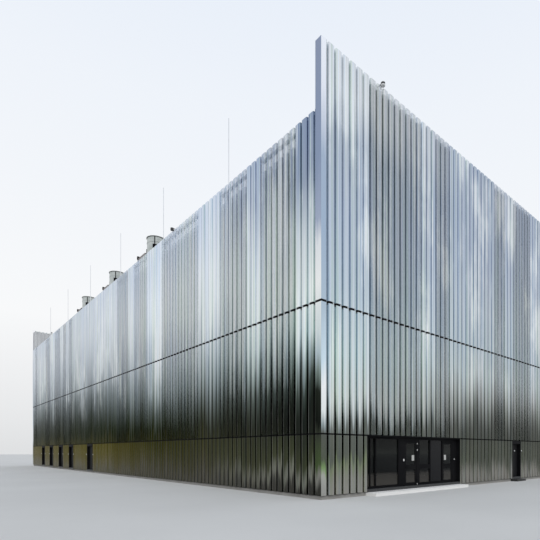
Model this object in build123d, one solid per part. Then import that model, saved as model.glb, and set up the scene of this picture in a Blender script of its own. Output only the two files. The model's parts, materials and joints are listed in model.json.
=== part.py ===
import os

from build123d import *

# A data centre clad in ribbed steel, as a scale model at 1:2. Sizes are the model's own millimetres.
# The entrance front faces -Y and the long service side faces -X. The ground is at Z = 0.

# Cladding ribs. Sheets are three ribs wide and meet in a groove, and every facade is a whole
# number of sheets between its first and last groove.
RIB_PITCH = 200.0
SHEET_RIBS = 3
FRONT_SHEETS = 20
SIDE_SHEETS = 46
END_FIRST_GROOVE = 167.0
SIDE_FIRST_GROOVE = 212.0
GROOVE_OPENING = 60.0
GROOVE_DEPTH = 80.0
SHEET_DEPTH = 90.0
GROOVE_LAND = 5.0
SHEET_GAP = 2.0
CORNER_SHEET = 8.0

# Heights above the ground.
CLADDING_BOTTOM = 80.0
FLOOR_TOP = 125.0
LOW_JOINT = 1250.0
MIDDLE_JOINT = 3760.0
SIDE_TOP = 7425.0
END_TOP = 8715.0
JOINT_GAP = 30.0
SIDE_WALL_DROP = 400.0
END_WALL_DROP = 125.0
ROOF_TOP = 6500.0
ROOF_THICKNESS = 160.0
PLINTH_TOP = 66.0
PLINTH_SETBACK = 45.0

# Build-up behind the sheets.
RAIL_DEPTH = 60.0
RAIL_HEIGHT = 50.0
SIDE_RAIL_DROP = 70.0
END_RAIL_DROP = 110.0
RAIL_EDGE = 90.0
RAIL_END = 20.0
RAIL_POST_SPACING = 3600.0
WALL_THICKNESS = 150.0

# Entrance, measured along the front from the near corner. It starts in the middle of a crest.
ENTRANCE_FIRST_RIB = 5.5
ENTRANCE_GLASS_WIDTH = 1150.0
ENTRANCE_MULLION = 205.0
ENTRANCE_POST_WIDTH = 240.0
ENTRANCE_LEAF_WIDTH = 440.0
ENTRANCE_SIDELIGHT_WIDTH = 415.0
ENTRANCE_PANEL_WIDTH = 500.0
ENTRANCE_END_WIDTH = 224.0
FRAME_SETBACK = 100.0
LEAF_SETBACK = 5.0
FRAME_DEPTH = 60.0
FRAME_BAR = 22.0
MIDDLE_BAR = 125.0
GLASS_TOP = 1190.0
GLASS_BOTTOM = 178.0
MIDRAIL_BOTTOM = 500.0
MIDRAIL_HEIGHT = 104.0
GLASS_THICKNESS = 10.0
PANEL_THICKNESS = 20.0
SURROUND_THICKNESS = 14.0
SURROUND_SETBACK = 8.0
THRESHOLD_PROJECTION = 240.0

# Service doors.
SERVICE_FIRST_RIB = 38.5
SERVICE_RIBS = 3
SERVICE_STEP_PROJECTION = 160.0
SERVICE_STEP_HEIGHT = 60.0
SIDE_DOOR_RIBS = 4.5
SIDE_DOOR_FIRST_RIBS = (72.5, 88.5, 99, 110, 120.5)
JAMB = 20.0
LEAF_THICKNESS = 30.0
LEAF_TOP = 1140.0
LEAF_CLEARANCE = 8.0
STOP_WIDTH = 12.0
STOP_DEPTH = 16.0
STILE = 42.0
BOTTOM_RAIL = 62.0
HANDLE_HEIGHT = 550.0
HANDLE_LENGTH = 62.0
HANDLE_REACH = 24.0
HANDLE_THICKNESS = 10.0
HANDLE_EDGE = 16.0
PIVOT_RADIUS = 5.0
PIVOT_RUNNING_GAP = 0.1
PIVOT_FROM_EDGE = 12.0
PIVOT_FROM_FACE = 8.0

# Roof plant and rods, measured along the long side from the near corner.
STACK_START = 9735.0
STACK_SPACING = 4195.0
STACK_COUNT = 3
STACK_RADIUS = 312.0
STACK_TOP = 8500.0
STACK_RIM = 22.0
STACK_RIM_THICKNESS = 20.0
STACK_FACETS = 20
HOUSING_GAP = 30.0
HOUSING_LENGTH = 720.0
HOUSING_WIDTH = 560.0
HOUSING_TOP = 8060.0
ROD_START = 3995.0
ROD_SPACING = 4139.0
ROD_TOP = 9507.0
ROD_RADIUS = 11.0
ROD_FOOT_RADIUS = 50.0
ROD_FOOT_HEIGHT = 50.0
ROD_WALL_GAP = 10.0
ROD_STACK_GAP = 16.0

# Dome cameras on the parapets.
CAMERA_FRONT_PLACE = 1750.0
CAMERA_SIDE_PLACE = 6600.0
CAMERA_BACK_PLACE = 1050.0
DOME_RADIUS = 48.0
DOME_HEIGHT = 60.0
CAMERA_REACH = 15.0
CAMERA_RISE = 70.0
CAMERA_TUBE = 20.0

FRONT_RIBS = FRONT_SHEETS * SHEET_RIBS
SIDE_RIBS = SIDE_SHEETS * SHEET_RIBS
FRONT_WIDTH = FRONT_RIBS * RIB_PITCH + 2 * END_FIRST_GROOVE
SIDE_LENGTH = SIDE_RIBS * RIB_PITCH + 2 * SIDE_FIRST_GROOVE
LEFT_X = -FRONT_WIDTH / 2
FRONT_Y = -SIDE_LENGTH / 2
SHEET_LAND = GROOVE_OPENING / 2 + GROOVE_LAND
END_LEG = END_FIRST_GROOVE - SHEET_LAND - SHEET_GAP
SIDE_LEG = SIDE_FIRST_GROOVE - SHEET_LAND - SHEET_GAP
WALL_SETBACK = SHEET_DEPTH + RAIL_DEPTH
WALL_INSIDE = WALL_SETBACK + WALL_THICKNESS
SIDE_WALL_TOP = SIDE_TOP - SIDE_WALL_DROP
END_WALL_TOP = END_TOP - END_WALL_DROP
ENTRANCE_START = END_FIRST_GROOVE + ENTRANCE_FIRST_RIB * RIB_PITCH
POST_START = ENTRANCE_START + ENTRANCE_GLASS_WIDTH
DOOR_ONE_START = POST_START + ENTRANCE_POST_WIDTH
DOOR_ONE_END = DOOR_ONE_START + ENTRANCE_LEAF_WIDTH
SIDELIGHT_START = DOOR_ONE_END + MIDDLE_BAR
SIDELIGHT_END = SIDELIGHT_START + ENTRANCE_SIDELIGHT_WIDTH
PANEL_START = SIDELIGHT_END + 2 * FRAME_BAR
PANEL_END = PANEL_START + ENTRANCE_PANEL_WIDTH
DOOR_TWO_START = PANEL_END + FRAME_BAR
DOOR_TWO_END = DOOR_TWO_START + ENTRANCE_LEAF_WIDTH
ENTRANCE_END = DOOR_TWO_END + ENTRANCE_END_WIDTH
SERVICE_START = END_FIRST_GROOVE + SERVICE_FIRST_RIB * RIB_PITCH
SERVICE_END = SERVICE_START + SERVICE_RIBS * RIB_PITCH
FRONT_OPENINGS = [(ENTRANCE_START, ENTRANCE_END), (SERVICE_START, SERVICE_END)]
SIDE_DOOR_WIDTH = SIDE_DOOR_RIBS * RIB_PITCH
SIDE_DOOR_STARTS = [SIDE_FIRST_GROOVE + rib * RIB_PITCH for rib in SIDE_DOOR_FIRST_RIBS]
SIDE_OPENINGS = [(start, start + SIDE_DOOR_WIDTH) for start in SIDE_DOOR_STARTS]
ROD_SETBACK = WALL_INSIDE + ROD_WALL_GAP + ROD_FOOT_RADIUS
STACK_SETBACK = ROD_SETBACK + ROD_FOOT_RADIUS + ROD_STACK_GAP + STACK_RIM + STACK_RADIUS
ROD_REACH = SIDE_LENGTH - ROD_START - WALL_INSIDE - ROD_FOOT_RADIUS

os.makedirs("parts", exist_ok=True)


def save(name, solids):
    """Write one named node made of one solid or of several that don't touch."""
    shape = solids[0] if len(solids) == 1 else Compound(children=list(solids))
    export_step(shape, f"parts/{name}.step")
    print(name, len(solids))


def block(x0, x1, y0, y1, z0, z1):
    """A box given by its low and high corners."""
    centre = ((x0 + x1) / 2, (y0 + y1) / 2, (z0 + z1) / 2)
    return Pos(*centre) * Box(x1 - x0, y1 - y0, z1 - z0)


def prism(radius, height, sides):
    """An upright regular prism on the ground plane."""
    return extrude(RegularPolygon(radius, sides), amount=height)


def single(shape):
    """The only solid of a shape."""
    return shape.solids()[0]


# A facade frame: along the facade from its low corner, then depth behind the crests, then height.
def on_facade(side, solid):
    """Turn a solid drawn in the front's own frame (X along, Y inward) to stand on a facade."""
    if side == "front":
        return Pos(LEFT_X, FRONT_Y, 0) * solid
    if side == "back":
        return Pos(-LEFT_X, -FRONT_Y, 0) * Rot(0, 0, 180) * solid
    if side == "right":
        return Pos(-LEFT_X, FRONT_Y, 0) * Rot(0, 0, 90) * solid
    return Pos(LEFT_X, -FRONT_Y, 0) * Rot(0, 0, -90) * solid


def is_end(side):
    """True for the two end faces, false for the two long sides."""
    return side in ("front", "back")


def facade_length(side):
    """The length of a facade between its corners."""
    return FRONT_WIDTH if is_end(side) else SIDE_LENGTH


def first_groove(side):
    """How far the first groove of a facade is from its corners."""
    return END_FIRST_GROOVE if is_end(side) else SIDE_FIRST_GROOVE


def stretches(start, end, openings):
    """The stretches of wall left beside a row of openings."""
    edges = [start]
    for low, high in openings:
        edges += [low, high]
    edges.append(end)
    return list(zip(edges[0::2], edges[1::2]))


def side_openings_mirrored():
    """The service side is drawn from the far corner, so its openings count back from there."""
    return [(SIDE_LENGTH - high, SIDE_LENGTH - low) for low, high in reversed(SIDE_OPENINGS)]


def ribbed_sheet(side, start, end, bottom, top):
    """A ribbed sheet: flat crests with a narrow groove at every pitch, and a flat back."""
    half = GROOVE_OPENING / 2
    ribs = FRONT_RIBS if is_end(side) else SIDE_RIBS
    outline = [(start, SHEET_DEPTH)]
    for k in range(ribs + 1):
        centre = first_groove(side) + k * RIB_PITCH
        fold = [(centre - half, 0.0), (centre, GROOVE_DEPTH), (centre + half, 0.0)]
        outline += [point for point in fold if start <= point[0] <= end]
    if outline[1][1] == 0.0 and outline[1][0] > start:
        outline.insert(1, (start, 0.0))
    if outline[-1][1] == 0.0 and outline[-1][0] < end:
        outline.append((end, 0.0))
    outline.append((end, SHEET_DEPTH))
    face = make_face(Polyline(*outline, close=True))
    sheet = Pos(0, 0, bottom) * extrude(face, amount=top - bottom, dir=(0, 0, 1))
    return on_facade(side, sheet)


OPENINGS = {
    "front": FRONT_OPENINGS,
    "left": side_openings_mirrored(),
    "right": [],
    "back": [],
}
TOPS = {"front": END_TOP, "back": END_TOP, "left": SIDE_TOP, "right": SIDE_TOP}
RAIL_DROPS = {
    "front": END_RAIL_DROP,
    "back": END_RAIL_DROP,
    "left": SIDE_RAIL_DROP,
    "right": SIDE_RAIL_DROP,
}

# Ribbed cladding in tiers with an open joint between them. The front and the service side have a
# low tier that stops at the doors. The other two sides have no doors, so their lower sheets are one.
half_gap = JOINT_GAP / 2
for side in ("front", "left", "right", "back"):
    start = first_groove(side) - SHEET_LAND
    end = facade_length(side) - start
    if OPENINGS[side]:
        low_sheets = []
        for a, b in stretches(start, end, OPENINGS[side]):
            low_sheets.append(ribbed_sheet(side, a, b, CLADDING_BOTTOM, LOW_JOINT - half_gap))
        save(f"{side}_cladding_low", low_sheets)
        middle = ribbed_sheet(side, start, end, LOW_JOINT + half_gap, MIDDLE_JOINT - half_gap)
        save(f"{side}_cladding_middle", [middle])
    else:
        lower = ribbed_sheet(side, start, end, CLADDING_BOTTOM, MIDDLE_JOINT - half_gap)
        save(f"{side}_cladding_lower", [lower])
    upper = ribbed_sheet(side, start, end, MIDDLE_JOINT + half_gap, TOPS[side])
    save(f"{side}_cladding_top", [upper])

# Folded corner pieces in the same tiers. Each leg ends in a return that closes the hollow behind it.
corner_outline = Polyline(
    (0, 0),
    (END_LEG, 0),
    (END_LEG, SHEET_DEPTH),
    (END_LEG - CORNER_SHEET, SHEET_DEPTH),
    (END_LEG - CORNER_SHEET, CORNER_SHEET),
    (CORNER_SHEET, CORNER_SHEET),
    (CORNER_SHEET, SIDE_LEG - CORNER_SHEET),
    (SHEET_DEPTH, SIDE_LEG - CORNER_SHEET),
    (SHEET_DEPTH, SIDE_LEG),
    (0, SIDE_LEG),
    close=True,
)
corner_face = make_face(corner_outline)
corner_tiers = [
    (CLADDING_BOTTOM, LOW_JOINT - half_gap),
    (LOW_JOINT + half_gap, MIDDLE_JOINT - half_gap),
    (MIDDLE_JOINT + half_gap, END_TOP),
]
corners = []
for low, high in corner_tiers:
    corner = extrude(corner_face, amount=high - low, dir=(0, 0, 1))
    near_left = Pos(LEFT_X, FRONT_Y, low) * corner
    near_right = mirror(near_left, about=Plane.YZ)
    corners += [near_left, near_right, mirror(near_left, about=Plane.XZ), mirror(near_right, about=Plane.XZ)]
save("corner_angles", corners)

# Rails that carry the sheets off the walls, at the foot and head of every tier. On the end faces
# they run out behind the corner pieces.
rail_levels = [
    LOW_JOINT + RAIL_EDGE,
    MIDDLE_JOINT - RAIL_EDGE,
    MIDDLE_JOINT + RAIL_EDGE,
]
low_levels = [FLOOR_TOP + RAIL_EDGE, LOW_JOINT - RAIL_EDGE]
for side in ("front", "left", "right", "back"):
    length = facade_length(side)
    rail_start = END_LEG - CORNER_SHEET if is_end(side) else WALL_SETBACK + RAIL_END
    back = WALL_SETBACK
    top_level = TOPS[side] - RAIL_DROPS[side]
    rails = []
    for z in rail_levels + [top_level]:
        rail = block(
            rail_start, length - rail_start, SHEET_DEPTH, back, z - RAIL_HEIGHT / 2, z + RAIL_HEIGHT / 2
        )
        if z == top_level and not is_end(side):
            # Above the side walls the top rail stands on short posts.
            reach = length - 2 * rail_start - RAIL_DEPTH
            count = round(reach / RAIL_POST_SPACING)
            for k in range(count + 1):
                along = rail_start + reach * k / count
                rail += block(
                    along, along + RAIL_DEPTH, SHEET_DEPTH, back, SIDE_WALL_TOP - END_RAIL_DROP, z
                )
        rails.append(single(rail))
    for z in low_levels:
        for a, b in stretches(rail_start, length - rail_start, OPENINGS[side]):
            rails.append(block(a, b, SHEET_DEPTH, back, z - RAIL_HEIGHT / 2, z + RAIL_HEIGHT / 2))
    save(f"{side}_rails", [on_facade(side, r) for r in rails])

# Floor slab with a lower plinth step that shows below the cladding.
slab = block(
    LEFT_X + PLINTH_SETBACK, -LEFT_X - PLINTH_SETBACK,
    FRONT_Y + PLINTH_SETBACK, -FRONT_Y - PLINTH_SETBACK,
    0, PLINTH_TOP,
)
slab += block(
    LEFT_X + WALL_SETBACK, -LEFT_X - WALL_SETBACK,
    FRONT_Y + WALL_SETBACK, -FRONT_Y - WALL_SETBACK,
    0, FLOOR_TOP,
)
save("floor_slab", [single(slab)])

# Sills that carry the door frames out to the cladding.
sills = []
for side in ("front", "left"):
    for a, b in OPENINGS[side]:
        sills.append(on_facade(side, block(a, b, SURROUND_SETBACK, WALL_SETBACK, PLINTH_TOP, FLOOR_TOP)))
save("door_sills", sills)

# Walls. The end walls run from corner to corner and the side walls stand between them.
front_piers = []
for a, b in stretches(WALL_SETBACK, FRONT_WIDTH - WALL_SETBACK, FRONT_OPENINGS):
    front_piers.append(block(a, b, WALL_SETBACK, WALL_INSIDE, FLOOR_TOP, LOW_JOINT))
save("front_wall_piers", [on_facade("front", p) for p in front_piers])
front_upper = block(
    WALL_SETBACK, FRONT_WIDTH - WALL_SETBACK, WALL_SETBACK, WALL_INSIDE, LOW_JOINT, END_WALL_TOP
)
save("front_wall_upper", [on_facade("front", front_upper)])
back_wall = block(
    WALL_SETBACK, FRONT_WIDTH - WALL_SETBACK, WALL_SETBACK, WALL_INSIDE, FLOOR_TOP, END_WALL_TOP
)
save("back_wall", [on_facade("back", back_wall)])
side_piers = []
for a, b in stretches(WALL_INSIDE, SIDE_LENGTH - WALL_INSIDE, OPENINGS["left"]):
    side_piers.append(block(a, b, WALL_SETBACK, WALL_INSIDE, FLOOR_TOP, LOW_JOINT))
save("left_wall_piers", [on_facade("left", p) for p in side_piers])
left_upper = block(
    WALL_INSIDE, SIDE_LENGTH - WALL_INSIDE, WALL_SETBACK, WALL_INSIDE, LOW_JOINT, SIDE_WALL_TOP
)
save("left_wall_upper", [on_facade("left", left_upper)])
right_wall = block(
    WALL_INSIDE, SIDE_LENGTH - WALL_INSIDE, WALL_SETBACK, WALL_INSIDE, FLOOR_TOP, SIDE_WALL_TOP
)
save("right_wall", [on_facade("right", right_wall)])
roof = block(
    LEFT_X + WALL_INSIDE, -LEFT_X - WALL_INSIDE,
    FRONT_Y + WALL_INSIDE, -FRONT_Y - WALL_INSIDE,
    ROOF_TOP - ROOF_THICKNESS, ROOF_TOP,
)
save("roof_slab", [roof])

# Entrance front: a deep dark surround, a plate of frame bars, fixed glass and two glazed leaves.
frame_front = FRAME_SETBACK
frame_back = FRAME_SETBACK + FRAME_DEPTH
leaf_front = FRAME_SETBACK + LEAF_SETBACK
leaf_back = leaf_front + LEAF_THICKNESS
stop_front = leaf_back + LEAF_CLEARANCE
entrance = block(ENTRANCE_START, ENTRANCE_END, frame_front, frame_back, FLOOR_TOP, LOW_JOINT)
mullion = ENTRANCE_START + ENTRANCE_MULLION
fixed_panes = [
    (ENTRANCE_START + SURROUND_THICKNESS + FRAME_BAR, mullion - FRAME_BAR / 2, GLASS_BOTTOM, GLASS_TOP),
    (mullion + FRAME_BAR / 2, POST_START, GLASS_BOTTOM, GLASS_TOP),
    (SIDELIGHT_START, SIDELIGHT_END, GLASS_BOTTOM, MIDRAIL_BOTTOM),
    (SIDELIGHT_START, SIDELIGHT_END, MIDRAIL_BOTTOM + MIDRAIL_HEIGHT, GLASS_TOP),
]
for x0, x1, z0, z1 in fixed_panes:
    entrance -= block(x0, x1, frame_front, frame_back, z0, z1)
entrance -= block(PANEL_START, PANEL_END, frame_front, frame_back, GLASS_BOTTOM, GLASS_TOP)
for x0, x1 in ((DOOR_ONE_START, DOOR_ONE_END), (DOOR_TWO_START, DOOR_TWO_END)):
    entrance -= block(x0, x1, frame_front, stop_front, FLOOR_TOP, LEAF_TOP + LEAF_CLEARANCE)
    entrance -= block(
        x0 + STOP_WIDTH, x1 - STOP_WIDTH, stop_front, frame_back, FLOOR_TOP, LEAF_TOP - STOP_WIDTH
    )
surround = block(ENTRANCE_START, ENTRANCE_END, SURROUND_SETBACK, frame_front, FLOOR_TOP, LOW_JOINT)
surround -= block(
    ENTRANCE_START + SURROUND_THICKNESS, ENTRANCE_END - SURROUND_THICKNESS,
    SURROUND_SETBACK, frame_front, FLOOR_TOP, LOW_JOINT - SURROUND_THICKNESS,
)
entrance += surround
save("entrance_frame", [on_facade("front", single(entrance))])

glass_front = frame_front + (FRAME_DEPTH - GLASS_THICKNESS) / 2
panes = []
for x0, x1, z0, z1 in fixed_panes:
    panes.append(block(x0, x1, glass_front, glass_front + GLASS_THICKNESS, z0, z1))
save("entrance_glass", [on_facade("front", p) for p in panes])
panel = block(
    PANEL_START, PANEL_END, frame_front + PANEL_THICKNESS, frame_front + 2 * PANEL_THICKNESS,
    GLASS_BOTTOM, GLASS_TOP,
)
save("entrance_panel", [on_facade("front", panel)])
threshold = block(
    ENTRANCE_START, ENTRANCE_END, -THRESHOLD_PROJECTION, PLINTH_SETBACK, 0, PLINTH_TOP
)
save("entrance_threshold", [on_facade("front", threshold)])


def lever(edge, inward, front, back):
    """A bent lever on both faces of a leaf. inward is +1 or -1 along the facade."""
    x0 = edge + inward * HANDLE_EDGE
    x1 = x0 + inward * HANDLE_LENGTH
    neck = x0 + inward * HANDLE_THICKNESS
    low, high = HANDLE_HEIGHT - HANDLE_THICKNESS / 2, HANDLE_HEIGHT + HANDLE_THICKNESS / 2
    pieces = []
    for face, out in ((front, -1), (back, 1)):
        tip = face + out * HANDLE_REACH
        inner = tip - out * HANDLE_THICKNESS
        pieces.append(block(min(x0, neck), max(x0, neck), min(face, tip), max(face, tip), low, high))
        pieces.append(block(min(x0, x1), max(x0, x1), min(inner, tip), max(inner, tip), low, high))
    return pieces


def with_pivot(leaf, a, b, handle_at_low_end):
    """Add the pivot foot that turns on the sill, at the end away from the handle."""
    place = b - PIVOT_FROM_EDGE if handle_at_low_end else a + PIVOT_FROM_EDGE
    foot = FLOOR_TOP + PIVOT_RUNNING_GAP
    height = LEAF_CLEARANCE - PIVOT_RUNNING_GAP + BOTTOM_RAIL / 2
    return leaf + Pos(place, leaf_front + PIVOT_FROM_FACE, foot) * prism(PIVOT_RADIUS, height, 8)


def glazed_leaf(x0, x1, handle_at_low_end):
    """A glazed leaf: its frame with levers, and its two panes."""
    a, b = x0 + LEAF_CLEARANCE, x1 - LEAF_CLEARANCE
    bottom = FLOOR_TOP + LEAF_CLEARANCE
    leaf = block(a, b, leaf_front, leaf_back, bottom, LEAF_TOP)
    windows = [
        (bottom + BOTTOM_RAIL, MIDRAIL_BOTTOM),
        (MIDRAIL_BOTTOM + MIDRAIL_HEIGHT, LEAF_TOP - STILE),
    ]
    pane_front = leaf_front + (LEAF_THICKNESS - GLASS_THICKNESS) / 2
    glass = []
    for z0, z1 in windows:
        leaf -= block(a + STILE, b - STILE, leaf_front, leaf_back, z0, z1)
        glass.append(block(a + STILE, b - STILE, pane_front, pane_front + GLASS_THICKNESS, z0, z1))
    edge, inward = (a, 1) if handle_at_low_end else (b, -1)
    for piece in lever(edge, inward, leaf_front, leaf_back):
        leaf += piece
    return single(with_pivot(leaf, a, b, handle_at_low_end)), glass


one, one_glass = glazed_leaf(DOOR_ONE_START, DOOR_ONE_END, True)
two, two_glass = glazed_leaf(DOOR_TWO_START, DOOR_TWO_END, False)
save("entrance_leaf_one", [on_facade("front", one)])
save("entrance_leaf_one_glass", [on_facade("front", g) for g in one_glass])
save("entrance_leaf_two", [on_facade("front", two)])
save("entrance_leaf_two_glass", [on_facade("front", g) for g in two_glass])


def door_frame(x0, x1):
    """A deep metal frame that lines a service doorway and carries a stop behind the leaf."""
    frame = block(x0, x1, SURROUND_SETBACK, frame_back, FLOOR_TOP, LOW_JOINT)
    head = LEAF_TOP + LEAF_CLEARANCE
    frame -= block(x0 + JAMB, x1 - JAMB, SURROUND_SETBACK, stop_front, FLOOR_TOP, head)
    frame -= block(
        x0 + JAMB + STOP_WIDTH, x1 - JAMB - STOP_WIDTH, stop_front, frame_back,
        FLOOR_TOP, LEAF_TOP - STOP_WIDTH,
    )
    return single(frame)


def flush_leaf(a, b, handle_at_low_end):
    """A flush metal leaf with a lever near its free edge."""
    leaf = block(a, b, leaf_front, leaf_back, FLOOR_TOP + LEAF_CLEARANCE, LEAF_TOP)
    edge, inward = (a, 1) if handle_at_low_end else (b, -1)
    for piece in lever(edge, inward, leaf_front, leaf_back):
        leaf += piece
    return single(with_pivot(leaf, a, b, handle_at_low_end))


service_frame = door_frame(SERVICE_START, SERVICE_END)
save("service_door_frame", [on_facade("front", service_frame)])
service_leaf = flush_leaf(
    SERVICE_START + JAMB + LEAF_CLEARANCE, SERVICE_END - JAMB - LEAF_CLEARANCE, True
)
save("service_door_leaf", [on_facade("front", service_leaf)])
service_step = block(
    SERVICE_START, SERVICE_END, -SERVICE_STEP_PROJECTION, PLINTH_SETBACK, 0, SERVICE_STEP_HEIGHT
)
save("service_door_step", [on_facade("front", service_step)])

# Five double doors on the service side. Leaf a of each is the one nearer the entrance front.
side_frames = []
for low, high in OPENINGS["left"]:
    side_frames.append(on_facade("left", door_frame(low, high)))
save("side_door_frames", side_frames)
for number, start in enumerate(SIDE_DOOR_STARTS, start=1):
    middle = SIDE_LENGTH - start - SIDE_DOOR_WIDTH / 2
    far = middle - SIDE_DOOR_WIDTH / 2 + JAMB + LEAF_CLEARANCE
    near = middle + SIDE_DOOR_WIDTH / 2 - JAMB - LEAF_CLEARANCE
    leaf_b = flush_leaf(far, middle - LEAF_CLEARANCE / 2, False)
    leaf_a = flush_leaf(middle + LEAF_CLEARANCE / 2, near, True)
    save(f"side_door_{number}_leaf_a", [on_facade("left", leaf_a)])
    save(f"side_door_{number}_leaf_b", [on_facade("left", leaf_b)])

# Fan stacks: a drum with a flat rim, beside a long low housing.
stacks = []
housings = []
for k in range(STACK_COUNT):
    place = STACK_START + k * STACK_SPACING
    drum = prism(STACK_RADIUS, STACK_TOP - ROOF_TOP, STACK_FACETS)
    rim = prism(STACK_RADIUS + STACK_RIM, STACK_RIM_THICKNESS, STACK_FACETS)
    drum += Pos(0, 0, STACK_TOP - ROOF_TOP - STACK_RIM_THICKNESS) * rim
    centre = (LEFT_X + STACK_SETBACK, FRONT_Y + place)
    stacks.append(Pos(centre[0], centre[1], ROOF_TOP) * single(drum))
    start = centre[1] + STACK_RADIUS + HOUSING_GAP
    housings.append(
        block(
            centre[0] - HOUSING_WIDTH / 2, centre[0] + HOUSING_WIDTH / 2,
            start, start + HOUSING_LENGTH, ROOF_TOP, HOUSING_TOP,
        )
    )
save("fan_stacks", stacks)
save("fan_housings", housings)

# Lightning rods in a row between the side wall and the stacks, as many as the roof has room for.
rods = []
for k in range(int(ROD_REACH // ROD_SPACING) + 1):
    rod = prism(ROD_RADIUS, ROD_TOP - ROOF_TOP, 8) + prism(ROD_FOOT_RADIUS, ROD_FOOT_HEIGHT, 8)
    place = ROD_START + k * ROD_SPACING
    rods.append(Pos(LEFT_X + ROD_SETBACK, FRONT_Y + place, ROOF_TOP) * single(rod))
save("lightning_rods", rods)


def dome_camera(side):
    """A dome camera under an arm that rises from the top rail and reaches out over the sheet."""
    top = TOPS[side]
    post_low = top - RAIL_DROPS[side] + RAIL_HEIGHT / 2
    post_depth = SHEET_DEPTH + RAIL_DEPTH / 2
    half = CAMERA_TUBE / 2
    arm_low = top + CAMERA_RISE
    body = block(-half, half, post_depth - half, post_depth + half, post_low, arm_low)
    body += block(-half, half, -CAMERA_REACH, post_depth + half, arm_low, arm_low + CAMERA_TUBE)
    drum = Pos(0, -CAMERA_REACH, arm_low - DOME_HEIGHT) * prism(DOME_RADIUS, DOME_HEIGHT + half, 12)
    return single(body + drum)


cameras = [
    on_facade("front", Pos(CAMERA_FRONT_PLACE, 0, 0) * dome_camera("front")),
    on_facade("left", Pos(SIDE_LENGTH - CAMERA_SIDE_PLACE, 0, 0) * dome_camera("left")),
    on_facade("back", Pos(FRONT_WIDTH - CAMERA_BACK_PLACE, 0, 0) * dome_camera("back")),
]
save("dome_cameras", cameras)
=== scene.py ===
# %% [markdown]
# # A data centre in ribbed steel
# The building is a long hall wrapped in bright folded steel sheets, with a glazed entrance in one
# end, a row of plant doors along one side and three fan drums on the roof. The CAD model gives the
# construction as a fixed frame. This lesson dresses it: the folded sheets are modelled again with
# their real thin section, and every surface gets its finish.

# %% Load the construction
import json
import math

import bmesh
import bpy
from mathutils import Matrix, Vector, noise


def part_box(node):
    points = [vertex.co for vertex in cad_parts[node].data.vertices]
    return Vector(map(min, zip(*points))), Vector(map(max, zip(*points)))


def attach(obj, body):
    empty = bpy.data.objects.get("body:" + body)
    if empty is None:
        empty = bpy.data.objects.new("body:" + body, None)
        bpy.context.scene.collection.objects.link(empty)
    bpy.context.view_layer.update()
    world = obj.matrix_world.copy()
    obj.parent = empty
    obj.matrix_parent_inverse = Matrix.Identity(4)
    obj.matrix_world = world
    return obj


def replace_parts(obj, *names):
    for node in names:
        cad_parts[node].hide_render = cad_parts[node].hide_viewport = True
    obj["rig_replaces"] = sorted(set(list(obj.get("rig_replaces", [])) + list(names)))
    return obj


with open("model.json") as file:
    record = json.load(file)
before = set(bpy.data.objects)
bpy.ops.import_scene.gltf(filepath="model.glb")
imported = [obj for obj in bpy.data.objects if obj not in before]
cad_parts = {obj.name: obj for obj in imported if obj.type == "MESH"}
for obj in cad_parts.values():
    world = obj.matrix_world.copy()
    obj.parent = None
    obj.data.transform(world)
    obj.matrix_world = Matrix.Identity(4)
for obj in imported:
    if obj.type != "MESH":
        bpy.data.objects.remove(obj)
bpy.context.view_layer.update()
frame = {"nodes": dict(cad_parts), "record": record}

# %% [markdown]
# ## The camera
# The photograph was taken at eye height near one corner, with the lens slid upwards so that the
# upright lines stay upright. A Blender camera does the same with its shift: the camera stays
# level, and the shift moves the picture up to the roof. A tilted camera would lean the walls.

# %% A level camera with a shifted lens
EYE_FROM_CORNER = Vector((-5.542, -6.229, 0.0))
EYE_HEIGHT = 0.915
VIEW_ANGLE = -43.18
corner_low, corner_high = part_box("corner_angles")
camera_data = bpy.data.cameras.new("eye")
camera_data.lens = 29.7
camera_data.sensor_width = 36.0
camera_data.shift_x = -0.1169
camera_data.shift_y = 0.3361
camera_data.clip_end = 500.0
camera = bpy.data.objects.new("eye", camera_data)
camera.location = (
    corner_low.x + EYE_FROM_CORNER.x, corner_low.y + EYE_FROM_CORNER.y, EYE_HEIGHT
)
camera.rotation_euler = (math.radians(90.0), 0.0, math.radians(VIEW_ANGLE))
bpy.context.collection.objects.link(camera)
bpy.context.scene.camera = camera
bpy.context.scene.view_settings.view_transform = "Standard"
print("eye at", [round(v, 2) for v in camera.location])

# %% [markdown]
# ## Node helpers
# Every finish is a small node tree. Building one by hand in Python takes three steps again and
# again: add a node, set a value on it, link it. A few short helpers keep the recipes readable.

# %% Small helpers for node trees
def fill(tree, slot, value):
    """Give an input a value, or link it where the value is another node's output."""
    if isinstance(value, bpy.types.NodeSocket):
        tree.links.new(value, slot)
    else:
        slot.default_value = value


def adjust(tree, made, **settings):
    """Set a node's properties, and fill the inputs whose names are given."""
    for name, value in settings.items():
        if hasattr(made, name):
            setattr(made, name, value)
        else:
            fill(tree, made.inputs[name.replace("_", " ")], value)


def node(tree, kind, **settings):
    """Add a node with its properties and inputs set."""
    made = tree.nodes.new(kind)
    adjust(tree, made, **settings)
    return made


def calculate(tree, operation, *values):
    """A Math node on some values, each a number or another node's output."""
    made = node(tree, "ShaderNodeMath", operation=operation)
    for slot, value in zip(made.inputs, values):
        fill(tree, slot, value)
    return made.outputs[0]


def tones(*rows):
    """Stops for a ramp from rows of (place, red, green, blue), all in thousandths."""
    return [(row[0] / 1000, tuple(value / 1000 for value in row[1:])) for row in rows]


def ramp(tree, value, stops, interpolation="LINEAR"):
    """A colour ramp through stops of (place, colour). A single number stands for a grey."""
    made = node(tree, "ShaderNodeValToRGB", Fac=value)
    made.color_ramp.interpolation = interpolation
    while len(made.color_ramp.elements) < len(stops):
        made.color_ramp.elements.new(1.0)
    for element, (place, colour) in zip(made.color_ramp.elements, stops):
        element.position = place
        element.color = (*(colour if isinstance(colour, tuple) else (colour,) * 3), 1.0)
    return made.outputs[0]


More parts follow.
